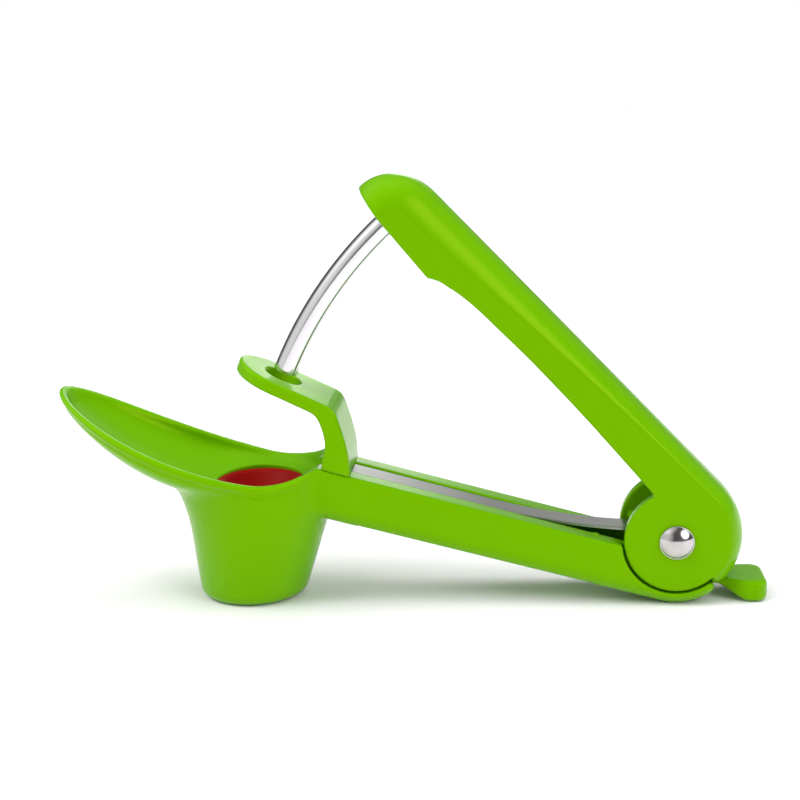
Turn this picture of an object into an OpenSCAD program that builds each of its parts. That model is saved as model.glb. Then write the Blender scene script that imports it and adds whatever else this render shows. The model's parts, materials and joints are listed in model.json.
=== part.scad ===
// Hand-held cherry and olive pitter: a spoon-shaped base with a fruit cup, a guide bracket,
// a squeeze lever that carries a curved plunger rod, a leaf return spring and a tail lock.
// Every module is drawn about the lever pivot: X runs from the spoon to the tail, Z is up.
// placed() then puts the origin on the table, under the middle of the whole object.

/* [Overall] */
// Length from the spoon's tip to the end of the lock tab
overall_l = 176.2; // [175.4:0.1:177]
// Height of the lever pivot above the table, also the radius of the cradle under it
hub_h = 16.2; // [16:0.1:16.8]
// Distance of the lock tab's end behind the pivot
tail_reach = 22.8; // [22.4:0.1:23.4]
// General wall thickness of the mouldings
wall = 2.2; // [2:0.1:2.4]
// Gap between a moving piece and its neighbour
gap = 0.3; // [0.3:0.05:0.4]

/* [Spoon and cup] */
// Half width of the spoon at its widest station
spoon_half_w = 19.5; // [19:0.1:20]
// Length of the spoon ahead of its widest station
spoon_front = 35.4; // [34.8:0.1:36]
// Length of the spoon behind its widest station
spoon_back = 33; // [32.6:0.1:33.4]
// Radius of the cup's foot ring on the table
cup_foot_r = 13; // [12.6:0.1:13.4]
// Radius of the cup just under the spoon
cup_top_r = 18.2; // [17.8:0.1:18.4]
// Height of the fruit seat's top above the table
seat_h = 29.4; // [29:0.1:29.8]
// Outer radius of the fruit seat
seat_r = 11.2; // [11:0.1:11.4]

/* [Arm] */
// Width of the base arm, the cradle and the guide bracket
arm_w = 20.8; // [20.6:0.1:21.4]
// Slope of the arm's top face in degrees
arm_top_slope = 14.8; // [14.6:0.1:15]
// Slope of the arm's underside in degrees
arm_belly_slope = 14.2; // [14:0.1:14.4]
// Distance of the arm's top face below the pivot, square to that face
arm_top_drop = 4.3; // [4.2:0.1:4.5]
// Width of the spring trough in the arm
trough_w = 8.4; // [8.2:0.1:8.6]

/* [Guide bracket] */
// Slope of the guide plate in degrees
plate_slope = 24.8; // [24.4:0.1:25]
// Distance of the plate's top face below the pivot line
plate_drop = 4.6; // [4.6:0.1:4.8]
// Thickness of the guide plate
plate_t = 3; // [2.8:0.1:3.2]
// Radius of the rod's guide hole
guide_r = 4.5; // [4.2:0.1:4.6]

/* [Lever] */
// Width of the lever and of its two ears
lever_w = 19.2; // [19:0.1:19.4]
// Angle of the open lever above the table in degrees
open_angle = 46.1; // [45.8:0.1:46.4]
// Height of the lever's back above its own pivot line
back_h = 16.85; // [16.7:0.05:17]
// Height on the lever's side where the flat flank turns into the crown
flank_h = 9.5; // [9.2:0.1:9.8]
// Radius of the lever's nose in side view
nose_r = 12; // [11.8:0.1:12.1]
// Distance of the nose centre from the pivot
nose_u = 103.2; // [103:0.1:103.4]
// Radius of the two ears
ear_r = 12.65; // [12.5:0.05:12.75]
// Thickness of each ear
ear_t = 3; // [2.8:0.1:3]

/* [Rod and rivet] */
// Radius of the plunger rod
rod_r = 3; // [2.9:0.05:3.1]
// Radius of the rod's arc about the pivot
rod_arc = 104.4; // [104.2:0.1:104.6]
// Radius of the pivot rivet's shank
rivet_r = 2.5; // [2.4:0.05:2.6]
// Radius of the rivet's domed head
rivet_head_r = 4.2; // [4:0.1:4.4]
// Radial clearance of the rivet in the ears and lugs
run_fit = 0.05; // [0.03:0.01:0.08]

/* [Hidden] */
$fn = 64;

tail_shift = overall_l / 2 - tail_reach;
sink = 0.02;
far = 60;
half_arm = arm_w / 2;
half_lever = lever_w / 2;

// spoon stations, measured along X from the pivot
spoon_mid_x = tail_reach - overall_l + spoon_front;
valley_x = -104;
valley_z = seat_h - hub_h + 3.3;
floor_z = seat_h - hub_h + 0.1;
floor_start_x = -115;
lip = 2.4;

// cup axis at the table and under the spoon
cup_foot_x = -106.3;
cup_top_x = -103.9;
cup_h = 24;
seat_x = -103.3;
seat_t = 6;

cradle_r = ear_r + 0.6;
cradle_end_x = 9.3;
lug_r = 8.2;
lug_out = half_lever - ear_t - 0.4;
spring_w = trough_w - 1;
spring_t = 0.8;
trough_floor = 11.4;
join_x = -87.7;
foot_front_x = -86.4;
foot_rear_x = -79.5;
screw_x = -82.9;

tip_angle = -22.9;
rod_end_angle = 6.2;
pin_angle = 3.6;
pin_r = 1;

bar_r = 1.1;
catch_arc = 9.8;
catch_angle = -135.5;
stem_w = trough_w - 0.8;
stem_low = -12.4;
stem_top = -10.95;
hook_top = -8.3;
hook_x = -12.1;
hook_l = 2;

// height of the spoon's rim along X
function rim(x) = let (d = valley_x - x)
    valley_z + (d > 0 ? 0.21 * d + 0.0045 * d * d : 0.21 * d + 0.0215 * d * d);
// height of the bowl's inner floor along X
function bowl_floor(x) = let (d = max(0, floor_start_x - x)) floor_z + 0.13 * d + 0.0128 * d * d;
// height of the arm's top face and underside along X
function arm_top(x) = (-arm_top_drop - x * sin(arm_top_slope)) / cos(arm_top_slope);
function arm_belly(x) = (-hub_h - x * sin(arm_belly_slope)) / cos(arm_belly_slope);
// a point at distance r and angle a from the pivot, in the side view
function polar(r, a) = [r * cos(a), r * sin(a)];
// points of an arc in the side view
function arc(c, r, a0, a1, n) = [for (i = [0 : n]) c + polar(r, a0 + (a1 - a0) * i / n)];

module placed() {
    translate([tail_shift, 0, hub_h]) children();
}

// extrudes a side-view outline across the width w, centred on the middle plane
module across(w) {
    rotate([90, 0, 0]) linear_extrude(w, center = true) children();
}

// a round bar across the object at side-view place p
module cross_bar(p, r, w) {
    translate([p[0], 0, p[1]]) rotate([90, 0, 0]) cylinder(r = r, h = w, center = true);
}

// turns the lever's own frame (nose along -X) into the open position
module lever_frame() {
    rotate([0, open_angle, 0]) children();
}

// closed solid through a list of rings that have the same number of points
module loft(rings) {
    n = len(rings[0]);
    m = len(rings);
    points = [for (ring = rings) for (p = ring) p];
    walls = [for (i = [0 : m - 2]) for (j = [0 : n - 1]) for (half = [0, 1]) let (k = (j + 1) % n)
        half == 0 ? [i * n + j, (i + 1) * n + k, i * n + k] : [i * n + j, (i + 1) * n + j, (i + 1) * n + k]];
    caps = [[for (j = [0 : n - 1]) j], [for (j = [n - 1 : -1 : 0]) (m - 1) * n + j]];
    polyhedron(points = points, faces = concat(walls, caps), convexity = 4);
}

// one U-shaped section of the spoon at station x: half width h, depth d below the rim,
// closed by a straight line raise above the rim
function bowl_ring(x, h, d, raise) = concat(
    raise > 0 ? [[x, h, rim(x) + raise], [x, -h, rim(x) + raise]] : [],
    [for (i = [0 : 12]) let (a = 15 * i) [x, -h * cos(a), rim(x) - d * pow(sin(a), 0.8)]]);

// the spoon as a solid, drawn smaller by inset for its inside
module bowl(inset, raise) {
    front = [for (a = [8 : 10.25 : 90]) bowl_station(-cos(a), sin(a), inset, raise)];
    back = [for (s = [0.15 : 0.15 : 0.9]) bowl_station(s, pow(1 - pow(s, 2.3), 1 / 2.3), inset, raise)];
    loft(concat(front, back));
}

// ring at the relative station s (-1 at the tip, 1 at the back) and relative width w
function bowl_station(s, w, inset, raise) = let (
    reach = (s < 0 ? spoon_front : spoon_back) - inset,
    x = spoon_mid_x + s * reach,
    low = bowl_floor(x) - (inset > 0 ? 0 : wall))
    bowl_ring(x, (spoon_half_w - inset) * w, rim(x) - low, raise);

// leaning cone of the cup, from low to top along its own axis, measured from the table
module cup_form(inset, low, top) {
    flare = (cup_top_r - cup_foot_r) / cup_h;
    translate([cup_foot_x, 0, -hub_h]) rotate([0, atan((cup_top_x - cup_foot_x) / cup_h), 0])
        translate([0, 0, low]) cylinder(r1 = cup_foot_r + flare * low - inset,
            r2 = cup_foot_r + flare * top - inset, h = top - low);
}

module arm_outline() {
    polygon(concat(
        [[-96, arm_belly(-96)]],
        arc([0, 0], hub_h, 270 - arm_belly_slope, 270 + asin(cradle_end_x / hub_h), 24),
        [[cradle_end_x, -10.7], [0, -10.7], [0, arm_top(-13)], [join_x, arm_top(join_x)]],
        [for (x = [-89 : -1.4 : -96]) [x, rim(x)]]));
}

// hollow under the arm, below the floor of the spring trough
module belly_core() {
    x0 = -78;
    x1 = -20;
    skin = 1.8;
    across(half_arm * 1.46) polygon([[x0, arm_belly(x0) - 1], [x1, arm_belly(x1) - 1],
        [x1, arm_belly(x1) + skin], [x0, arm_belly(x0) + skin]]);
    for (side = [-1, 1]) translate([0, side * (half_arm - wall - 1.1), 0])
        across(2.2) polygon([[x0, arm_belly(x0) - 1], [x1, arm_belly(x1) - 1],
            [x1, arm_top(x1) - 3.2], [x0, arm_top(x0) - 3.2]]);
}

module hub_lugs() {
    for (side = [-1, 1]) translate([0, side * (lug_out + trough_w / 2) / 2, 0])
        across(lug_out - trough_w / 2) {
            circle(r = lug_r);
            for (a = [[202, 213], [259, 284]])
                polygon([[0, 0], polar(cradle_r + 0.5, a[0]), polar(cradle_r + 0.5, a[1])]);
        }
}

module base_body() {
    color("yellowgreen") placed() {
        difference() {
            union() {
                difference() {
                    union() {
                        bowl(0, 0);
                        cup_form(0, -2, seat_h - 1);
                        across(arm_w) arm_outline();
                    }
                    // round recess of the ears, with a lower step between them
                    cross_bar([0, 0], cradle_r - 1.85, far);
                    for (side = [-1, 1]) translate([0, side * (lug_out + 0.1 + far / 2), 0])
                        cross_bar([0, 0], cradle_r, far);
                }
                hub_lugs();
            }
            translate([-3 * far, -far, -hub_h - far]) cube([2 * far, 2 * far, far]);
            bowl(lip, 8);
            // the back of the spoon's rim ends level with the arm's top face
            across(far) polygon([[join_x, arm_top(join_x)], [0, arm_top(0)], [0, 40], [join_x, 40]]);
            // cup inside, seat opening and seat pocket
            cup_form(wall, -3, seat_h - seat_t - wall);
            translate([seat_x, 0, 0]) cylinder(r = seat_r - 1.8, h = far, center = true);
            translate([seat_x, 0, seat_h - hub_h - seat_t]) cylinder(r = seat_r + sink, h = 8);
            // spring trough, open at the hub
            across(trough_w) polygon([[foot_front_x, arm_top(foot_front_x) + 1], [-9, 8], [-9, -8],
                [-13, arm_top(-13) + arm_top_drop - trough_floor], [-40, arm_top(-40) - 6.5],
                [-70, arm_top(-70) - 1.4], [foot_front_x, arm_top(foot_front_x) - 1.1]]);
            belly_core();
            // channel of the tail lock, from under the hub out of the tail
            translate([hook_x - gap, -trough_w / 2, stem_low - gap]) cube([far, trough_w, 4.5]);
            cross_bar([0, 0], rivet_r + run_fit, far);
            // sockets of the bracket's two pegs and of its screw
            for (side = [-1, 1]) translate([screw_x, side * 7.2, arm_top(screw_x) - 5])
                cylinder(r = 1.5, h = 9);
            translate([screw_x, 0, arm_belly(screw_x) - 2]) cylinder(r = 1.6, h = far);
            translate([screw_x, 0, arm_belly(screw_x) - 2]) cylinder(r = 3, h = 5);
        }
    }
}

module fruit_seat() {
    low = seat_h - hub_h - seat_t;
    color("darkred") placed() translate([seat_x, 0, low])
        rotate_extrude() polygon([[seat_r - 2.4, 0], [seat_r, 0], [seat_r, seat_t],
            [seat_r - 1.2, seat_t], [seat_r - 2.6, seat_t - 1.2], [5.2, 1.8], [4.2, 1.2], [4.2, 0]]);
}

module bracket_outline() {
    slope = [cos(plate_slope), -sin(plate_slope)];
    up = [sin(plate_slope), cos(plate_slope)];
    top0 = up * -plate_drop - slope * 118;
    top1 = up * -plate_drop - slope * 90.2;
    low1 = up * (-plate_drop - plate_t) - slope * 93.5;
    low0 = up * (-plate_drop - plate_t) - slope * 118;
    foot_z = arm_top(foot_rear_x);
    polygon(concat([top0], [top1 + up * -0.3 + slope * 1.2, top1 + up * -1.6 + slope * 2.3],
        [[-80.5, foot_z + 9.6], [-79.7, foot_z + 4.6], [foot_rear_x, foot_z]],
        [[foot_front_x, arm_top(foot_front_x)], [-85.6, foot_z + 6.6], [-85.9, foot_z + 9.8],
         [-86.7, foot_z + 12.8], [-87.7, foot_z + 14.8]], [low1, low0]));
}

module guide_bracket() {
    hole = polar(rod_arc, 180 + asin(plate_drop / rod_arc) - plate_slope);
    color("yellowgreen") placed() difference() {
        union() {
            intersection() {
                across(arm_w) bracket_outline();
                // rounded end of the plate, seen square to the plate
                translate([hole[0], 0, hole[1]]) rotate([0, plate_slope, 0]) union() {
                    translate([-1.2, 0, -far]) cylinder(r = half_arm, h = 2 * far);
                    translate([-1.2, -half_arm, -far]) cube([far, arm_w, 2 * far]);
                }
            }
            for (side = [-1, 1]) translate([screw_x, side * 7.2, arm_top(screw_x) - 4.6])
                cylinder(r = 1.45, h = 6);
        }
        translate([hole[0], 0, hole[1]]) rotate([0, plate_slope, 0])
            cylinder(r = guide_r, h = 4 * plate_t, center = true);
        translate([screw_x, 0, arm_top(screw_x) - 3]) cylinder(r = 1.25, h = 9);
    }
}

module bracket_screw() {
    head_z = arm_belly(screw_x) + 3;
    color("silver") placed() translate([screw_x, 0, 0]) difference() {
        union() {
            translate([0, 0, head_z - 1.8]) cylinder(r = 2.6, h = 1.8);
            translate([0, 0, head_z - 0.5]) cylinder(r = 1.25, h = arm_top(screw_x) + 5 - head_z);
        }
        for (a = [0, 90]) rotate([0, 0, a]) translate([-1.5, -0.35, head_z - 2]) cube([3, 0.7, 1.2]);
    }
}

// height of the spring's top face along X: flush in the trough, then rising to the hub
function spring_top(x) = let (d = max(0, x + 45)) arm_top(x) - 0.3 + 0.0032 * d * d;

module leaf_spring() {
    x0 = foot_front_x + 0.4;
    x1 = -8.4;
    stations = [x0, -60, -45, for (i = [1 : 8]) -45 + (x1 + 45) * i / 8];
    color("darkgray") placed() difference() {
        across(spring_w) polygon(concat(
            [for (x = stations) [x, spring_top(x)]],
            [for (i = [len(stations) - 1 : -1 : 0]) [stations[i], spring_top(stations[i]) - spring_t]]));
        translate([screw_x, 0, 0]) cylinder(r = 1.6, h = far);
    }
}

// side view of the lever in its own frame, drawn smaller by inset for its inside
module lever_outline(inset) {
    mouth_slope = 4.2;
    drop = inset > 0 ? 12 : 0;
    nose = [-nose_u, 4.9];
    polygon(concat(
        [[0, 0], [0, back_h - inset]],
        arc(nose, nose_r - inset, 90, 176, 16),
        inset > 0 ? [[-nose_u - nose_r + inset, -drop], [-14, -drop]] :
            [[-nose_u - nose_r, 2.2 + 27.2 * tan(mouth_slope)], [-88, 2.2], [-87, 2.6],
             [-85.6, 3.5], [-80, 4.9], [-72, 5.6], [-58, 5.8], [-40, 5.5], [-26, 4.9], [-13.4, 4.2]]));
}

// section of the lever: the crown, from its crease on the flat flank up to the back
function crown_side(inset) = let (rise = (back_h - inset - flank_h) / 0.609) [for (i = [0 : 9])
    let (a = 14.15 + 75.85 * i / 9) [min(half_lever - inset, (half_lever - inset) * 1.0208 * pow(cos(a), 0.667)),
        back_h - inset - rise * (1 - pow(sin(a), 0.667))]];

// solid body of the lever in its own frame: beam, nose and rear hood
module lever_form(inset) {
    side = crown_side(inset);
    section = concat([[half_lever - inset, -far]], side, [for (i = [8 : -1 : 0]) [-side[i][0], side[i][1]]],
        [[-(half_lever - inset), -far]]);
    nose_l = nose_r + 0.2 - inset;
    intersection() {
        across(lever_w - 2 * inset) lever_outline(inset);
        // plan view with the rounded nose
        linear_extrude(2 * far, center = true) polygon(concat([[1, half_lever - inset]],
            [for (i = [0 : 12]) let (a = 90 + 15 * i) [-nose_u + nose_l * cos(a), (half_lever - inset) * sin(a)]],
            [[1, inset - half_lever]]));
        rotate([90, 0, -90]) linear_extrude(3 * far) polygon(section);
    }
    // hood around the back of the hub
    rotate([90, 0, 0]) rotate_extrude(angle = 90) polygon(concat([[0, -(half_lever - inset)]],
        [for (p = side) [p[1], -p[0]]], [for (i = [8 : -1 : 0]) [side[i][1], side[i][0]]],
        [[0, half_lever - inset]]));
}

module lever() {
    spring_bar = [-9.5, spring_top(-9.5) + gap + bar_r + 0.1];
    socket_u = rod_arc * cos(pin_angle);
    color("yellowgreen") placed() {
        lever_frame() difference() {
            union() {
                difference() {
                    union() {
                        lever_form(0);
                        rotate([90, 0, 0]) cylinder(r = ear_r, h = lever_w, center = true);
                    }
                    intersection() {
                        lever_form(wall);
                        translate([-far * 2 - 14, -far, -far]) cube([far * 2, 2 * far, 2 * far]);
                    }
                    // space between the two ears and inside the hood
                    intersection() {
                        translate([-20, 0, -far]) translate([0, ear_t - half_lever, 0])
                            cube([far, lever_w - 2 * ear_t, 2 * far]);
                        union() {
                            rotate([90, 0, 0]) cylinder(r = back_h - wall, h = far, center = true);
                            translate([-20, -far, -far]) cube([20, 2 * far, far + back_h - wall]);
                        }
                    }
                }
                // socket block of the plunger rod
                intersection() {
                    lever_form(wall / 2);
                    translate([-socket_u - 5.4, -4.6, 5.4]) cube([10.8, 9.2, far]);
                }
            }
            // end of the hood, clear of the lock tab when the lever is open
            translate([10, -far, -far]) cube([far, 2 * far, far + 0.6]);
            rotate([0, -45, 0]) translate([11, -far, -far]) cube([far, 2 * far, far - 9.9]);
            rod_torus(rod_r, tip_angle, rod_end_angle);
            cross_bar(polar(rod_arc, 180 - pin_angle), pin_r + 0.01, far);
            cross_bar([0, 0], rivet_r + run_fit, far);
        }
        // bars between the ears: one takes the spring's push, one is caught by the tail lock
        cross_bar(spring_bar, bar_r, lever_w - 2 * ear_t + 0.4);
        cross_bar(polar(catch_arc, catch_angle), bar_r, lever_w - 2 * ear_t + 0.4);
    }
}

// curved bar about the pivot, between two angles above the lever's own line
module rod_torus(r, a0, a1) {
    rotate([90, 0, 0]) rotate([0, 0, 180 - a1]) rotate_extrude(angle = a1 - a0)
        translate([rod_arc, 0]) circle(r = r);
}

module plunger_rod() {
    color("gainsboro") placed() lever_frame() difference() {
        rod_torus(rod_r, tip_angle, rod_end_angle);
        cross_bar(polar(rod_arc, 180 - pin_angle), pin_r + 0.01, far);
    }
}

module rod_pin() {
    color("silver") placed() lever_frame() cross_bar(polar(rod_arc, 180 - pin_angle), pin_r, 8.8);
}

// domed head of a rivet on the plane z = 0, with the dome upwards
module rivet_dome() {
    dome_h = 1.9;
    sphere_r = (rivet_head_r * rivet_head_r + dome_h * dome_h) / (2 * dome_h);
    intersection() {
        translate([0, 0, dome_h - sphere_r]) sphere(r = sphere_r);
        cylinder(r = rivet_head_r, h = 2 * dome_h);
    }
}

module pivot_rivet() {
    color("gainsboro") placed() rotate([90, 0, 0]) difference() {
        union() {
            translate([0, 0, half_lever + gap]) rivet_dome();
            translate([0, 0, -half_lever]) cylinder(r = rivet_r, h = lever_w + gap + 0.5);
        }
        translate([0, 0, -half_lever - 1]) cylinder(r = 1.2, h = 8);
    }
}

module rivet_cap() {
    color("gainsboro") placed() rotate([-90, 0, 0]) {
        translate([0, 0, half_lever + gap]) rivet_dome();
        translate([0, 0, half_lever - 5]) cylinder(r = 1.18, h = 5.8);
    }
}

module lock_tab() {
    neck_x = 10.6;
    pad_w = 14.8;
    corner_r = 3;
    pad_low = 0.1 - hub_h;
    pad_h = stem_top - pad_low;
    color("yellowgreen") placed() {
        translate([hook_x, -stem_w / 2, stem_low]) cube([neck_x - hook_x + 0.5, stem_w, stem_top - stem_low]);
        translate([hook_x, -stem_w / 2, stem_low]) cube([hook_l, stem_w, hook_top - stem_low]);
        hull() {
            translate([neck_x, -stem_w / 2, stem_low]) cube([0.2, stem_w, stem_top - stem_low]);
            translate([17.8, -pad_w / 2, pad_low]) cube([0.2, pad_w, pad_h]);
            for (side = [-1, 1]) translate([tail_reach - corner_r, side * (pad_w / 2 - corner_r), pad_low])
                cylinder(r = corner_r, h = pad_h);
        }
    }
}

base_body();
fruit_seat();
guide_bracket();
bracket_screw();
leaf_spring();
lever();
plunger_rod();
rod_pin();
pivot_rivet();
rivet_cap();
lock_tab();
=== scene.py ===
import json
import math
import bmesh
import bpy
import numpy as np
import openvdb
from mathutils import Matrix, Vector


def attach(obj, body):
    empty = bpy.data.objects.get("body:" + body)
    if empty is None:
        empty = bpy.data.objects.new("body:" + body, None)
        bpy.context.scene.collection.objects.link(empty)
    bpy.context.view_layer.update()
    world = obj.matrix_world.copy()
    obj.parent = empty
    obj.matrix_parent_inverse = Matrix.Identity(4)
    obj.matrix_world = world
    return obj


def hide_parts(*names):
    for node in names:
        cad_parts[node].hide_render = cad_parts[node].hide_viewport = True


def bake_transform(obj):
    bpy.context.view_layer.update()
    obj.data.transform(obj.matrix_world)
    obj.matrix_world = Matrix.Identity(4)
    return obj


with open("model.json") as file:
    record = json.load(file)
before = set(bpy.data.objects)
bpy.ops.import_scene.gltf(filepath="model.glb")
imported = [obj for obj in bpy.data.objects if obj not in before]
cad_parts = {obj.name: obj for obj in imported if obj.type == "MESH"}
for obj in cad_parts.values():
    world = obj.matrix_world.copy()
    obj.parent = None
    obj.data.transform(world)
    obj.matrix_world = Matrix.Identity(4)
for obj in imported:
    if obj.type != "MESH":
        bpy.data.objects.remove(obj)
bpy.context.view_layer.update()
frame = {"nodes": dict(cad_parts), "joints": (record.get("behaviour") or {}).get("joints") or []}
MM = 0.001
# the lever's pivot in the frame: the shapes below are in mm about it
SHIFT = next(tuple(joint["pos_m"]) for joint in frame["joints"] if joint["name"] == "lever_hinge")
HUB = round(SHIFT[2] / MM, 3)           # height of the pivot, and radius of the cradle round it
OPEN = math.radians(46.1)               # slope of the open lever
ROD_ARC = 104.4                         # radius about the pivot of the rod's middle line
ROD_FROM, ROD_TO = -22.9, 6.2           # its ends on that circle, in degrees from the line of the lever
RIVET_BORE = 2.55                       # radius


# ---------------------------------------------------------------- distance fields, in mm
def ix(a, b, r):
    """Intersection of two fields with a rounded edge of radius r."""
    return np.minimum(-r, np.maximum(a, b)) + np.hypot(np.maximum(a + r, 0), np.maximum(b + r, 0))


def un(a, b, r):
    """Union with a fillet of radius r."""
    return -ix(-a, -b, r)


def cut(a, b, r):
    """a without b, with a rounded edge."""
    return ix(a, -b, r)


def polygon(points, x, z):
    """Signed distance to a closed polygon in the side view, negative inside."""
    p = np.array(points, float)
    q = np.roll(p, -1, axis=0)
    best = np.full(np.broadcast(x, z).shape, 1e9)
    inside = np.zeros(best.shape, bool)
    for (ax, az), (bx, bz) in zip(p, q):
        ex, ez = bx - ax, bz - az
        length2 = ex * ex + ez * ez
        if length2 < 1e-12:
            continue
        t = np.clip(((x - ax) * ex + (z - az) * ez) / length2, 0, 1)
        best = np.minimum(best, (x - ax - t * ex) ** 2 + (z - az - t * ez) ** 2)
        if az != bz:
            crosses = ((az > z) != (bz > z)) & (x < ex * (z - az) / ez + ax)
            inside ^= crosses
    d = np.sqrt(best)
    return np.where(inside, -d, d)


def spline(points, steps=8):
    """Catmull-Rom curve through the points, open."""
    p = [np.array(a, float) for a in points]
    p = [2 * p[0] - p[1]] + p + [2 * p[-1] - p[-2]]
    out = []
    for i in range(1, len(p) - 2):
        for k in range(steps):
            t = k / steps
            out.append(0.5 * (2 * p[i] + (p[i + 1] - p[i - 1]) * t
                              + (2 * p[i - 1] - 5 * p[i] + 4 * p[i + 1] - p[i + 2]) * t ** 2
                              + (3 * p[i] - p[i - 1] - 3 * p[i + 1] + p[i + 2]) * t ** 3))
    out.append(p[-2])
    return [tuple(a) for a in out]


def smooth(a, b, x):
    """Rises from 0 at a to 1 at b, and starts and ends level."""
    t = np.clip((x - a) / (b - a), 0, 1)
    return t * t * (3 - 2 * t)


def normalised(g, x, y, z, e=0.03):
    """Turns an implicit form into a rough distance by dividing by its slope."""
    gx = (g(x + e, y, z) - g(x - e, y, z)) / (2 * e)
    gy = (g(x, y + e, z) - g(x, y - e, z)) / (2 * e)
    gz = (g(x, y, z + e) - g(x, y, z - e)) / (2 * e)
    return g(x, y, z) / np.maximum(np.sqrt(gx * gx + gy * gy + gz * gz), 1e-4)


# ---------------------------------------------------------------- fields to meshes
SLAB = 24           # planes of the grid that are worked out at a time
BAND = 4            # cells on each side of the surface that keep their true distance
STEP = 0.02         # mm, over which a slope is taken


def mesh_from_field(name, field, low, high, cell, to_frame):
    """Meshes the zero surface of a field that is symmetric in y, and pulls each vertex onto it."""
    xs = np.arange(low[0], high[0] + cell, cell)
    rows = int(math.ceil(high[1] / cell)) + 1
    ys = (np.arange(rows) + 0.5) * cell
    zs = np.arange(low[2], high[2] + cell, cell)
    half = np.empty((len(xs), rows, len(zs)), np.float32)
    for i in range(0, len(xs), SLAB):
        half[i:i + SLAB] = field(xs[i:i + SLAB, None, None], ys[None, :, None], zs[None, None, :])
    full = np.concatenate([half[:, ::-1], half], axis=1)
    full = np.clip(full, -BAND * cell, BAND * cell)
    grid = openvdb.FloatGrid(background=BAND * cell)
    grid.copyFromArray(full)
    points, triangles, quads = grid.convertToPolygons(isovalue=0.0, adaptivity=0.0)
    co = np.array(points, float) * cell + np.array([xs[0], -(rows - 0.5) * cell, zs[0]])
    for _ in range(3):
        x, y, z = co[:, 0], co[:, 1], co[:, 2]
        slope = np.stack([field(x + STEP, y, z) - field(x - STEP, y, z),
                          field(x, y + STEP, z) - field(x, y - STEP, z),
                          field(x, y, z + STEP) - field(x, y, z - STEP)], axis=1) / (2 * STEP)
        steep = np.maximum((slope * slope).sum(1), 0.05)
        move = -(field(x, y, z) / steep)[:, None] * slope
        size = np.linalg.norm(move, axis=1, keepdims=True)
        co += move * np.minimum(1, 0.35 * cell / np.maximum(size, 1e-9))
    faces = [tuple(int(i) for i in q) for q in quads] + [tuple(int(i) for i in t) for t in triangles]
    me = bpy.data.meshes.new(name)
    co = to_frame(co)
    me.from_pydata([tuple(c) for c in co], [], faces)
    me.update()
    obj = bpy.data.objects.new(name, me)
    bpy.context.scene.collection.objects.link(obj)
    bm = bmesh.new()
    bm.from_mesh(me)
    bmesh.ops.remove_doubles(bm, verts=bm.verts, dist=2e-6)
    bmesh.ops.dissolve_degenerate(bm, dist=1e-7, edges=bm.edges)
    if bm.calc_volume(signed=True) < 0:
        bmesh.ops.reverse_faces(bm, faces=bm.faces)
    bm.to_mesh(me)
    bm.free()
    me.shade_smooth()
    print("piece", name, len(me.vertices), "vertices", len(me.polygons), "faces")
    return obj


def about_pivot(co):
    return co * MM + np.array(SHIFT)


def lever_to_frame(co):
    """From the lever's own frame, nose along -X, to the open position."""
    c, s = math.cos(OPEN), math.sin(OPEN)
    x = co[:, 0] * c + co[:, 2] * s
    z = -co[:, 0] * s + co[:, 2] * c
    return np.stack([x, co[:, 1], z], axis=1) * MM + np.array(SHIFT)


# ---------------------------------------------------------------- base: spoon, cup, arm, cradle
TOP_T, BELLY_T = math.radians(14.8), math.radians(14.2)     # slopes of the arm's top and belly
TOP_OFF = 4.3                           # the plane of the arm's top passes this far below the pivot
ARM_W = 10.4                            # half the width of the arm and of the guide bracket
SPOON_X, SPOON_W = -118.0, 19.5         # where the spoon is widest, and half its width there
SPOON_FRONT, SPOON_BACK = 35.1, 33.0    # how far it reaches from there
RIM_SLOPE = 0.21                        # of the spoon's rim over the cup
SEAT_X, SEAT_LOW = -103.3, 7.2          # middle of the fruit seat, and its underside


def rim(x):
    """Height of the spoon's rim."""
    d = np.maximum(-104 - x, -20)
    return 16.5 + RIM_SLOPE * d + np.where(d > 0, 0.0045, 0.0215) * d * d


def bowl_floor(x):
    """Height of the lowest line inside the spoon."""
    d = np.maximum(-115 - x, 0)
    return 13.3 + 0.13 * d + 0.0128 * d * d


def width_share(x, inset=0):
    """Square of the spoon's width at x as a share of its widest, negative past its ends."""
    front = x < SPOON_X
    s = np.abs(x - SPOON_X) / (np.where(front, SPOON_FRONT, SPOON_BACK) - inset)
    rest = 1 - s ** np.where(front, 2.0, 2.3)
    return np.where(front, rest, np.sign(rest) * np.abs(rest) ** 0.87)


def bowl(x, y, z, inset):
    """The spoon's form: its outside with no inset, and its hollow with the wall as the inset."""
    def g(x, y, z):
        e = width_share(x, inset)
        low = bowl_floor(x) - (0 if inset else 2.2)
        q = np.maximum((rim(x) - z) / (rim(x) - low), 0)
        return (y / (SPOON_W - inset)) ** 2 - e + np.maximum(e, 0.06) * q ** 2.5
    return normalised(g, x, y, z)


def spoon_plan(x, y, z):
    """The rim's outline seen from above."""
    def g(x, y, z):
        return (y / (SPOON_W - 0.05)) ** 2 - width_share(x)
    return normalised(g, x, y, z)


def cup_cone(x, y, z, inset):
    """The cup: a cone that leans towards the arm, fuller below the spoon and narrower across near its top."""
    tilt = math.atan(2.4 / 24)
    cx, cz = x + 106.3, z + HUB
    t = cx * math.sin(tilt) + cz * math.cos(tilt)
    u = cx * math.cos(tilt) - cz * math.sin(tilt)
    flare = 5.2 / 24
    around = np.hypot(u, y if inset else y * (1 + 0.09 * smooth(6, 32, t)))
    spoonward = np.maximum(-u / np.maximum(around, 0.1), 0)
    extra = 0 if inset else 1.3 * np.maximum(z / 10, 0) ** 2 * spoonward ** 2
    return (around - (13.2 - inset + flare * t + extra)) / math.hypot(1, flare)


def arm_top(x):
    """Height of the arm's top."""
    return (-TOP_OFF - x * math.sin(TOP_T)) / math.cos(TOP_T)


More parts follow.
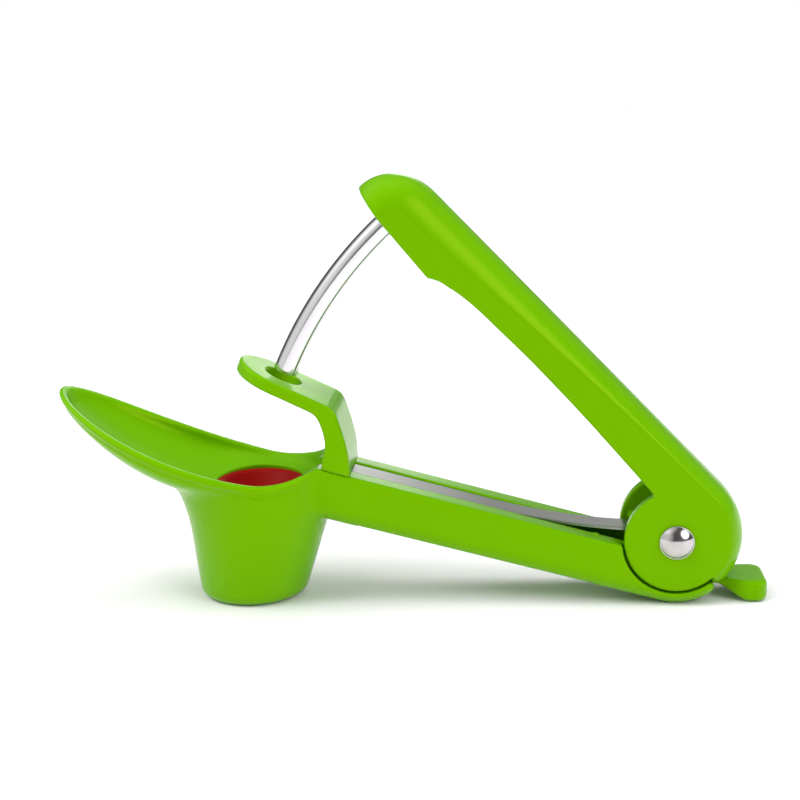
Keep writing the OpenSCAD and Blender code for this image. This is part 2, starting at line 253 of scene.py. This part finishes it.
TROUGH = [(-86.4, arm_top(-86.4) + 3), (-9, 12), (-9, -8), (-13, arm_top(-13) - 7.1),
          (-40, arm_top(-40) - 6.5), (-70, arm_top(-70) - 1.4), (-86.4, arm_top(-86.4) - 1.1)]


def base_field(x, y, z):
    ay = np.abs(y)
    r = np.hypot(x, z)
    # arm: its underside is a line tangent to the cradle's circle
    along = -x * math.cos(BELLY_T) + z * math.sin(BELLY_T)
    off = -(x * math.sin(BELLY_T) + z * math.cos(BELLY_T))
    under = np.where(along > 0, off, r) - HUB
    above = x * math.sin(TOP_T) + z * math.cos(TOP_T) + TOP_OFF
    top = np.where(x < -5, above, z + 10.7)
    lean = math.radians(13)
    side = ay - ARM_W
    low_side = side * math.cos(lean) + (3.9 + under) * math.sin(lean)
    arm = ix(ix(np.maximum(side, low_side), under, 3.0), top, 0.8)
    arm = np.maximum(ix(arm, x - 9.3, 0.8), -(x + 97))
    # spoon and cup, with a shallow groove below the rim
    lip = (z - rim(x)) / math.sqrt(1 + RIM_SLOPE * RIM_SLOPE)
    cup = ix(cup_cone(x, y, z, 0), -(z + HUB), 2.4)
    fillet = 0.4 + 1.8 * smooth(104.7, 118, -x)
    outer = np.maximum(un(bowl(x, y, z, 0), cup, fillet), spoon_plan(x, y, z))
    groove = np.maximum(np.hypot(outer - 0.35, lip + 2.3) - 0.6, x + 92)
    shell = un(cut(ix(outer, lip, 0.9), groove, 0.15), arm, 1.5)
    shell = np.maximum(shell, np.where(x < -87.7, lip, above))
    shell = np.maximum(shell, -(z + HUB))
    shell = cut(shell, bowl(x, y, z, 2.4), 1.1)
    shell = cut(shell, np.maximum(cup_cone(x, y, z, 2.2), z - 5.0), 0.6)
    # the seat's pocket and the throat below it
    seat_r = np.hypot(x - SEAT_X, y)
    shell = cut(shell, np.maximum(seat_r - 11.25, SEAT_LOW - z), 0.25)
    shell = cut(shell, seat_r - 9.4, 0.3)
    # trough for the spring, with two nubs on its edge
    shell = cut(shell, np.maximum(polygon(TROUGH, x, z), ay - 4.2), 0.5)
    nub = np.hypot(np.hypot(x + 19.4, (ay - 5.4) * 0.7), z - arm_top(-19.4) + 0.35) - 0.8
    shell = un(shell, nub, 0.4)
    # hollow of the arm's underside, deeper on each side of the trough
    ends = np.maximum(-78 - x, x + 20)
    core = np.maximum(np.maximum(-under - 1.8, ay - 7.6), ends)
    pocket = np.maximum(np.maximum(np.abs(ay - 7.1) - 1.1, top + 3.2), ends)
    shell = cut(shell, np.minimum(core, pocket), 0.4)
    # hub: round recess with a lower step, two lugs on webs, channel of the tail stem, rivet hole
    shell = cut(shell, np.minimum(np.maximum(r - 13.25, 6.3 - ay), r - 11.4), 0.35)
    beside = np.abs(ay - 5.2) - 1.0
    lug = np.maximum(beside, r - 8.2)
    angle = np.degrees(np.arctan2(z, x)) % 360
    fans = np.minimum(np.maximum(202 - angle, angle - 213), np.maximum(259 - angle, angle - 284))
    web = np.maximum(np.maximum(beside, r - 14.0), fans * 0.15)
    shell = un(shell, np.minimum(lug, web), 0.3)
    channel = np.maximum(np.maximum(ay - 4.2, -(x + 12.4)), np.abs(z + 10.45) - 2.25)
    shell = cut(shell, channel, 0.3)
    return cut(shell, r - RIVET_BORE, 0.15)


# ---------------------------------------------------------------- guide bracket
PLATE_T = math.radians(24.8)        # slope of the plate
PLATE_OFF = 4.6                     # the plane of its top passes this far below the pivot
BRACKET = (spline([(-110, 46.9), (-103.1, 43.1), (-98.3, 40.75), (-93, 38.3), (-88.7, 36.3),
                   (-84.6, 34.35)], 4)
           + spline([(-83.4, 33.5), (-82.4, 31.9), (-81.6, 29.4), (-80.5, 25.6), (-79.7, 21.4),
                     (-79.5, 16.4)], 4)
           + [(-86.5, 18.4)]
           + spline([(-86.3, 20.6), (-85.6, 23.6), (-85.6, 26.2), (-86.4, 29.4), (-87.5, 31.7),
                     (-89, 32.9)], 4)
           + [(-110, 42.9)])


def bracket_field(x, y, z):
    ay = np.abs(y)
    outline = polygon(BRACKET, x, z)
    # the guide hole is where the rod's circle meets the plate; u runs along the plate, v square to it
    at = math.pi + math.asin(PLATE_OFF / ROD_ARC) - PLATE_T
    hx, hz = ROD_ARC * math.cos(at), ROD_ARC * math.sin(at)
    u = (x - hx) * math.cos(PLATE_T) - (z - hz) * math.sin(PLATE_T)
    v = (x - hx) * math.sin(PLATE_T) + (z - hz) * math.cos(PLATE_T)
    end = np.where(u < -1.2, np.hypot(u + 1.2, y), ay) - ARM_W
    body = ix(outline, end, 0.7)
    body = np.maximum(body, -(z - arm_top(x)) - 0.02)
    bore = np.maximum(np.hypot(u, y) - 4.5, np.abs(v + 1.5) - 6)
    return cut(body, bore, 0.45)


# ---------------------------------------------------------------- lever, in its own frame
LEVER_W, CROWN_R = 9.6, 16.85       # half its width, and the height of its crown, which goes round the pivot
CROWN_W, CROWN_POWER = 10.2, 2.3    # the crown's section is a superellipse, cut off by the flanks
CROWN_PART = 0.588                  # the part of the superellipse's height that is above the flanks
NOSE_X, NOSE_Z = 101.5, 4.9         # middle of the round nose
EARS_IN, EARS_R = 6.6, 14.65        # half-width and radius of the space between the ears
SPRING_BAR = (-9.5, 1.95)           # the bar that the spring presses on, with the lever open
CATCH_R = 9.8                       # how far the other bar, for the tab's hook, is from the pivot
CATCH_T = OPEN - math.radians(135.5)
BAR_R = 1.1


def lever_crown(x, y, z):
    """Back, flanks, nose and hood of the lever without its underside: a flat flank, a crease, the crown."""
    def g(x, y, z):
        u = -x
        nose = np.hypot((u - NOSE_X) * 0.875, z - NOSE_Z)
        height = np.where(u > NOSE_X, NOSE_Z + nose, np.where(u < 0, np.hypot(u, np.maximum(z, 0)), z))
        crease = 14.0 - 4.6 * np.clip(u / 98, 0, 1) ** 1.6 + 0.9 * smooth(101, 107, u) - smooth(0, 10, -u)
        rise = (CROWN_R - crease) / CROWN_PART
        up = np.maximum(height - (CROWN_R - rise), 0) / rise
        return (np.abs(y) / CROWN_W) ** CROWN_POWER + up ** CROWN_POWER - 1
    return np.maximum(normalised(g, x, y, z), np.abs(y) - LEVER_W)


UNDER = (spline([(-13.4, 4.2), (-25, 4.8), (-40, 5.5), (-57, 5.8), (-67, 5.6), (-75, 5.4), (-80, 4.9),
                 (-83, 4.3), (-85.7, 3.7), (-87.4, 2.9), (-88.6, 2.25), (-90.5, 2.3)], 5)
         + [(-107.5, 3.6), (-125, 6.0), (-125, 40), (0.5, 40), (0.5, 0)])


def lever_field(x, y, z):
    ay = np.abs(y)
    r = np.hypot(x, z)
    crown = lever_crown(x, y, z)
    upright = -x * math.sin(OPEN) + z * math.cos(OPEN)
    beam = polygon(UNDER, x, z)
    hood = ix(np.maximum(np.maximum(r - 16.9, -(x + 3)), -z), -(upright + 10.6), 0.4)
    side_view = np.minimum(np.minimum(beam, hood), r - 12.65)
    body = ix(crown, side_view, 0.45)
    # hollow underside and the space between the ears
    body = cut(body, np.maximum(crown + 2.2, x + 14), 0.5)
    between = np.maximum(ay - EARS_IN, r - EARS_R)
    open_front = np.maximum(np.maximum(ay - EARS_IN, z - EARS_R), np.maximum(-(x + 20), x))
    body = cut(body, np.minimum(between, open_front), 0.4)
    # the rod's socket, and its bore along the rod's circle
    socket = np.maximum(np.maximum(np.abs(x + 104.2) - 5.4, ay - 4.6), np.maximum(5.4 - z, crown + 1.0))
    body = un(body, socket, 0.5)
    ring = np.hypot(r - ROD_ARC, y) - 3.05
    angle = np.degrees(np.arctan2(z, -x))
    body = cut(body, np.maximum(ring, (angle - ROD_TO) * 1.8), 0.2)
    # two bars between the ears
    bar_x = SPRING_BAR[0] * math.cos(OPEN) - SPRING_BAR[1] * math.sin(OPEN)
    bar_z = SPRING_BAR[0] * math.sin(OPEN) + SPRING_BAR[1] * math.cos(OPEN)
    catch = np.hypot(x - CATCH_R * math.cos(CATCH_T), z - CATCH_R * math.sin(CATCH_T))
    bars = np.minimum(np.hypot(x - bar_x, z - bar_z), catch) - BAR_R
    body = un(body, np.maximum(bars, ay - 7), 0.4)
    return cut(body, r - RIVET_BORE, 0.15)


# ---------------------------------------------------------------- tail tab
STEM_W = 3.8            # half the width of its flat stem
TAB_TOP = -10.85


def tab_field(x, y, z):
    ay = np.abs(y)
    stem = ix(ix(ay - STEM_W, np.abs(z + 11.675) - 0.725, 0.2), np.abs(x - 0.9) - 13.0, 0.2)
    hook = np.maximum(np.maximum(ay - STEM_W, np.abs(x + 11.1) - 1.0), np.abs(z + 10.35) - 2.05)
    # the tab grows wider and thicker behind the hub
    t = np.clip((x - 10.6) / 7.2, 0, 1)
    wide = STEM_W + 3.6 * (0.35 * t + 0.65 * t * t * (3 - 2 * t))
    low = -12.4 - 3.7 * (0.5 * t + 0.5 * t * t * (3 - 2 * t))
    outline = ix((ay - wide) * 0.88, x - 22.8, 3.0)
    level = np.abs(z - (low + TAB_TOP) / 2) - (TAB_TOP - low) / 2
    flare = np.maximum(ix(outline, level, np.minimum(1.3, 0.3 + t)), 10.3 - x)
    return un(np.minimum(stem, hook), flare, 0.2)


base = mesh_from_field("base_shell", base_field, (-156, 0, -18), (12, 21, 40), 0.45, about_pivot)
bracket = mesh_from_field("bracket_shell", bracket_field, (-110, 0, 12), (-77, 12, 48), 0.4, about_pivot)
lever = mesh_from_field("lever_shell", lever_field, (-118, 0, -14), (19, 11, 19), 0.42, lever_to_frame)
tab = mesh_from_field("tail_tab", tab_field, (-14, 0, -17), (25, 9, -7), 0.3, about_pivot)


# ---------------------------------------------------------------- turned and swept pieces
def new_object(name, verts, faces):
    me = bpy.data.meshes.new(name)
    me.from_pydata([tuple(v) for v in verts], [], faces)
    me.update()
    obj = bpy.data.objects.new(name, me)
    bpy.context.scene.collection.objects.link(obj)
    bm = bmesh.new()
    bm.from_mesh(me)
    bmesh.ops.remove_doubles(bm, verts=bm.verts, dist=1e-7)
    bmesh.ops.recalc_face_normals(bm, faces=bm.faces)
    bm.to_mesh(me)
    bm.free()
    me.shade_smooth()
    return obj


def ring_faces(rings, n):
    """The quads between neighbouring rings of n points each."""
    return [(i * n + k, i * n + (k + 1) % n, (i + 1) * n + (k + 1) % n, (i + 1) * n + k)
            for i in range(rings - 1) for k in range(n)]


def lathe(name, profile, place, steps=96):
    """Closed solid of revolution; place(r, h, angle) turns mm into a point of the frame."""
    verts = [place(r, h, 2 * math.pi * k / steps) for r, h in profile for k in range(steps)]
    return new_object(name, verts, ring_faces(len(profile), steps))


def cross_place(sign):
    """Places a turned piece on the pivot's axis, with its head on the near side (1) or the far side (-1)."""
    def place(r, h, a):
        return (SHIFT[0] + MM * r * math.cos(a), -sign * MM * h, SHIFT[2] + MM * r * math.sin(a))
    return place


def dome_profile(shank_r, shank_low, head_r=4.2, head_low=9.9, dome=1.9):
    """Section of a rivet: a domed head with a softened edge, and its shank."""
    ball = (head_r ** 2 + dome ** 2) / (2 * dome)
    top = [(max(ball * math.sin(a), 0.0), head_low + dome - ball + ball * math.cos(a))
           for a in np.linspace(0, math.asin(head_r / ball) * 0.985, 20)]
    edge = [(head_r, head_low + 0.16), (head_r - 0.03, head_low + 0.04), (head_r - 0.15, head_low)]
    shank = [(shank_r + 0.1, head_low), (shank_r, head_low - 0.1), (shank_r, shank_low), (0, shank_low)]
    return top + edge + shank


near_rivet = lathe("pivot_rivet_near", dome_profile(2.5, -9.4), cross_place(1))
far_rivet = lathe("pivot_rivet_far", dome_profile(2.3, 9.45), cross_place(-1))


def rod_mesh():
    """Round bar along the rod's circle, with a bevelled tip."""
    steps, around, radius, bevel = 120, 64, 3.0, 0.35
    tip, root = math.radians(ROD_FROM), math.radians(ROD_TO)
    full = tip + bevel / ROD_ARC
    rings = [(tip, 0.0), (tip, radius - bevel)]
    rings += [(tip + (bevel - bevel * math.cos(b)) / ROD_ARC, radius - bevel + bevel * math.sin(b))
              for b in np.linspace(0.3, 1.57, 5)]
    rings += [(full + (root - full) * k / steps, radius) for k in range(1, steps + 1)]
    rings += [(root, 0.0)]
    verts = []
    for a, r in rings:
        for k in range(around):
            b = 2 * math.pi * k / around
            out = ROD_ARC + r * math.cos(b)
            verts.append((-out * math.cos(a), r * math.sin(b), out * math.sin(a)))
    return new_object("rod", lever_to_frame(np.array(verts)), ring_faces(len(rings), around))


rod = rod_mesh()


def spring_top(x):
    """Height of the strip: along the arm's top, then rising to the lever."""
    d = max(0, x + 45)
    return arm_top(x) - 0.3 + 0.0032 * d * d


def spring_mesh():
    """Flat strip with slightly rounded edges and corners."""
    thick, half, edge, corner, straight = 0.8, 3.7, 0.14, 0.8, -9.2
    xs = list(np.linspace(-86, straight, 70)) + [-8.9, -8.65, -8.5, -8.42, -8.4]
    verts = []
    for x in xs:
        top = spring_top(x)
        low = top - thick
        past = max(0.0, x - straight)
        w = half - corner + math.sqrt(max(0.0, corner ** 2 - past ** 2))
        ring = [(-w + edge, top), (w - edge, top), (w, top - edge), (w, low + edge),
                (w - edge, low), (-w + edge, low), (-w, low + edge), (-w, top - edge)]
        verts += [(SHIFT[0] + MM * x, MM * y, SHIFT[2] + MM * z) for y, z in ring]
    n = len(ring)
    ends = [tuple(range(n)), tuple(range(len(verts) - n, len(verts)))]
    obj = new_object("spring_strip", verts, ring_faces(len(xs), n) + ends)
    obj.data.shade_flat()
    return obj


strip = spring_mesh()


def seat_profile():
    """The red insert's section: a funnel with a central hole, with softened edges."""
    points = spline([(4.2, 0.25), (4.2, 1.1), (4.9, 1.65), (6.2, 2.6), (7.6, 3.85), (8.7, 4.95),
                     (9.4, 5.6), (10.1, 5.92)], 5)
    points += [(10.6, 6.0), (11.0, 5.95), (11.16, 5.8), (11.2, 5.6), (11.2, 0.2), (11.05, 0.0), (4.35, 0.0)]
    return points + points[:1]


def seat_place(r, h, a):
    return (SHIFT[0] + MM * (r * math.cos(a) + SEAT_X), MM * r * math.sin(a), SHIFT[2] + MM * (h + SEAT_LOW))


seat = lathe("seat_insert", seat_profile(), seat_place, 128)


# ---------------------------------------------------------------- materials
def srgb(r, g, b):
    def lin(c):
        c /= 255
        return c / 12.92 if c <= 0.04045 else ((c + 0.055) / 1.055) ** 2.4
    return (lin(r), lin(g), lin(b), 1.0)


class Nodes:
    """A Principled material and the few nodes that its colour, roughness and bump need."""
    def __init__(self, name):
        self.mat = bpy.data.materials.new(name)
        self.mat.use_nodes = True
        self.tree = self.mat.node_tree
        self.shader = self.tree.nodes["Principled BSDF"]
        coord = self.tree.nodes.new("ShaderNodeTexCoord")
        self.coord = coord.outputs["Object"]

    def set(self, **values):
        for key, value in values.items():
            self.shader.inputs[key.replace("_", " ")].default_value = value
        return self

    def noise(self, scale, detail=3.0, rough=0.5, stretch=None):
        n = self.tree.nodes.new("ShaderNodeTexNoise")
        n.inputs["Scale"].default_value = scale
        n.inputs["Detail"].default_value = detail
        n.inputs["Roughness"].default_value = rough
        if stretch:
            m = self.tree.nodes.new("ShaderNodeMapping")
            m.inputs["Scale"].default_value = stretch
            self.tree.links.new(self.coord, m.inputs["Vector"])
            self.tree.links.new(m.outputs["Vector"], n.inputs["Vector"])
        else:
            self.tree.links.new(self.coord, n.inputs["Vector"])
        return n.outputs["Fac"]

    def ramp(self, fac, low, high, a, b):
        m = self.tree.nodes.new("ShaderNodeMapRange")
        m.inputs["From Min"].default_value = low
        m.inputs["From Max"].default_value = high
        m.inputs["To Min"].default_value = a
        m.inputs["To Max"].default_value = b
        self.tree.links.new(fac, m.inputs["Value"])
        return m.outputs["Result"]

    def colour(self, fac, c0, c1):
        m = self.tree.nodes.new("ShaderNodeMix")
        m.data_type = "RGBA"
        m.inputs[6].default_value = c0
        m.inputs[7].default_value = c1
        self.tree.links.new(fac, m.inputs[0])
        self.tree.links.new(m.outputs[2], self.shader.inputs["Base Color"])

    def rough(self, fac):
        self.tree.links.new(fac, self.shader.inputs["Roughness"])

    def bump(self, *heights, distance=0.0001):
        normal = None
        for fac, strength in heights:
            b = self.tree.nodes.new("ShaderNodeBump")
            b.inputs["Strength"].default_value = strength
            b.inputs["Distance"].default_value = distance
            self.tree.links.new(fac, b.inputs["Height"])
            if normal:
                self.tree.links.new(normal, b.inputs["Normal"])
            normal = b.outputs["Normal"]
        self.tree.links.new(normal, self.shader.inputs["Normal"])


def lime_plastic():
    n = Nodes("lime_plastic").set(Specular_IOR_Level=0.3, Specular_Tint=(0.97, 0.92, 0.04, 1))
    cloud = n.noise(28, 3, 0.55)
    fine = n.noise(900, 2, 0.5)
    n.colour(n.ramp(cloud, 0.1, 0.9, 0, 1), srgb(100, 167, 0), srgb(107, 173, 0))
    n.rough(n.ramp(cloud, 0.1, 0.9, 0.2, 0.3))
    n.bump((fine, 0.06), (cloud, 0.25), distance=0.0001)
    return n.mat


def red_plastic():
    n = Nodes("red_plastic").set(Specular_IOR_Level=0.15)
    n.colour(n.ramp(n.noise(60, 3), 0.3, 0.7, 0, 1), srgb(136, 3, 4), srgb(150, 8, 6))
    n.rough(n.ramp(n.noise(120, 2), 0.3, 0.7, 0.34, 0.46))
    n.bump((n.noise(1400, 2), 0.12), distance=0.0001)
    return n.mat


def polished_steel(name, patches, dark, light, wear, smoothest, roughest, grain, bump):
    """patches, wear and grain are the scale and detail of its colour, roughness and bump noise."""
    n = Nodes(name).set(Metallic=1.0)
    n.colour(n.ramp(n.noise(*patches), 0.3, 0.7, 0, 1), (*dark, 1), (*light, 1))
    n.rough(n.ramp(n.noise(*wear), 0.3, 0.7, smoothest, roughest))
    n.bump((n.noise(*grain), bump), distance=0.00005)
    return n.mat


def brushed_steel():
    """The spring's steel, with its grain along the strip."""
    n = Nodes("spring_steel").set(Metallic=1.0)
    grain = n.noise(240, 4, 0.6, stretch=(0.15, 6, 1))
    n.colour(n.ramp(grain, 0.3, 0.7, 0, 1), (0.38, 0.39, 0.36, 1), (0.48, 0.49, 0.46, 1))
    n.rough(n.ramp(grain, 0.3, 0.7, 0.28, 0.42))
    n.bump((grain, 0.2), distance=0.00005)
    return n.mat


lime_mat = lime_plastic()
rod_mat = polished_steel("rod_steel", (40, 3), (0.68, 0.68, 0.68), (0.76, 0.76, 0.76),
                         (300, 3), 0.07, 0.13, (2400, 2), 0.05)
rivet_mat = polished_steel("rivet_steel", (350, 4), (0.47, 0.45, 0.44), (0.58, 0.56, 0.55),
                           (600, 3), 0.10, 0.17, (1500, 3), 0.1)
screw_mat = polished_steel("screw_steel", (500, 3), (0.5, 0.5, 0.5), (0.62, 0.62, 0.61),
                           (800, 3), 0.25, 0.4, (2000, 2), 0.1)


def dress(obj, mat, slot, body, *nodes):
    """Gives a piece its material, hides the CAD nodes that it stands in for, and attaches it to a body unless
    the piece is blended. The slot is not used.
    """
    obj.data.materials.clear()
    obj.data.materials.append(mat)
    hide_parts(*nodes)
    if body:
        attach(obj, body)


dress(base, lime_mat, "lime_plastic", "base", "base_body")
dress(bracket, lime_mat, "lime_plastic_bracket", "base", "guide_bracket")
dress(seat, red_plastic(), "dark_red_plastic", "base", "fruit_seat")
dress(near_rivet, rivet_mat, "rivet_steel", "base", "pivot_rivet")
dress(far_rivet, rivet_mat, "rivet_cap_steel", "base", "rivet_cap")
dress(lever, lime_mat, "lime_plastic_lever", "lever", "lever")
dress(rod, rod_mat, "rod_steel", "lever", "plunger_rod")
dress(tab, lime_mat, "lime_plastic_tab", "lock", "lock_tab")
dress(strip, brushed_steel(), "spring_steel", None, "leaf_spring")
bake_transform(strip)
for name in ("rod_pin", "bracket_screw"):
    node = frame["nodes"][name]
    node.data.materials.clear()
    node.data.materials.append(screw_mat)


# ---------------------------------------------------------------- stage, light, camera
bpy.ops.mesh.primitive_plane_add(size=6, location=(0, 0, 0))
floor = bpy.context.object
floor.name = "floor"
paper = Nodes("paper").set(Specular_IOR_Level=0.2)
paper.colour(paper.noise(3, 2), (0.93, 0.90, 0.94, 1), (0.95, 0.92, 0.96, 1))
paper.rough(paper.ramp(paper.noise(60, 3), 0.3, 0.7, 0.45, 0.55))
floor.data.materials.append(paper.mat)

world = bpy.data.worlds.new("studio")
bpy.context.scene.world = world
world.use_nodes = True
wt = world.node_tree
back = wt.nodes["Background"]
direction = wt.nodes.new("ShaderNodeTexCoord").outputs["Generated"]
ways = wt.nodes.new("ShaderNodeLightPath")


def combine(operation, a, b):
    """Joins two strengths, each a socket or a number."""
    n = wt.nodes.new("ShaderNodeMath")
    n.operation = operation
    for i, v in enumerate((a, b)):
        if isinstance(v, float):
            n.inputs[i].default_value = v
        else:
            wt.links.new(v, n.inputs[i])
    return n.outputs[0]


def soft_box(towards, inner, outer, power):
    """A round soft light at a great distance."""
    dot = wt.nodes.new("ShaderNodeVectorMath")
    dot.operation = "DOT_PRODUCT"
    dot.inputs[1].default_value = Vector(towards).normalized()
    wt.links.new(direction, dot.inputs[0])
    m = wt.nodes.new("ShaderNodeMapRange")
    m.interpolation_type = "SMOOTHSTEP"
    m.inputs["From Min"].default_value = math.cos(math.radians(outer))
    m.inputs["From Max"].default_value = math.cos(math.radians(inner))
    m.inputs["To Min"].default_value = 0.0
    m.inputs["To Max"].default_value = power
    wt.links.new(dot.outputs["Value"], m.inputs["Value"])
    return m.outputs["Result"]


# direction, angles in degrees at which it starts and stops fading, and strength
GLOWS = [((-0.85, -0.45, 0.25), 12, 50, 0.75), ((0.665, -0.55, 0.49), 7, 25, 4.5),
         ((-0.01, 0.97, 0.22), 2, 7, 4.0), ((0.12, 0.95, 0.28), 6, 14, 0.3),
         ((-0.5, -0.1, 0.9), 10, 45, 0.8)]
AMBIENT = 0.13

glow = soft_box(*GLOWS[0])
for one in GLOWS[1:]:
    glow = combine("ADD", glow, soft_box(*one))
glow = combine("ADD", glow, AMBIENT)
# the backdrop is white, which no light or reflection comes from
level = combine("MAXIMUM", glow, ways.outputs["Is Camera Ray"])
back.inputs["Color"].default_value = (1, 1, 1, 1)
wt.links.new(level, back.inputs["Strength"])


def sun(name, towards, angle, power):
    """A wide soft light that isn't seen in reflections."""
    light = bpy.data.lights.new(name, "SUN")
    light.angle = math.radians(angle)
    light.energy = power
    obj = bpy.data.objects.new(name, light)
    obj.rotation_euler = (-Vector(towards)).to_track_quat("-Z", "Y").to_euler()
    obj.visible_glossy = False
    bpy.context.scene.collection.objects.link(obj)


sun("key", (-0.6, -0.1, 0.8), 45, 1.8)
sun("top", (0.4, 0.15, 0.9), 55, 1.6)

YAW, PITCH, ROLL = 0.077, 0.224, -0.021
STAND = (SHIFT[0] - 0.039474, -0.364555, 0.133146)      # the camera's place
FOCAL, SENSOR = 68.09, 36                               # mm


def add_camera():
    """A camera that is turned by the yaw, tipped down by the pitch and rolled about its own axis."""
    forward = np.array([-math.sin(YAW), math.cos(YAW), 0.0])
    across = np.array([math.cos(YAW), math.sin(YAW), 0.0])
    vertical = np.array([0.0, 0.0, 1.0])
    ahead = forward * math.cos(PITCH) - vertical * math.sin(PITCH)
    above = vertical * math.cos(PITCH) + forward * math.sin(PITCH)
    right = across * math.cos(ROLL) + above * math.sin(ROLL)
    up = -across * math.sin(ROLL) + above * math.cos(ROLL)
    camera = bpy.data.objects.new("camera", bpy.data.cameras.new("camera"))
    camera.data.lens = FOCAL
    camera.data.sensor_width = SENSOR
    turn = np.stack([right, up, -ahead], axis=1)
    camera.matrix_world = Matrix.Translation(STAND) @ Matrix(turn.tolist()).to_4x4()
    bpy.context.scene.collection.objects.link(camera)
    bpy.context.scene.camera = camera


add_camera()
bpy.context.scene.view_settings.view_transform = "Standard"
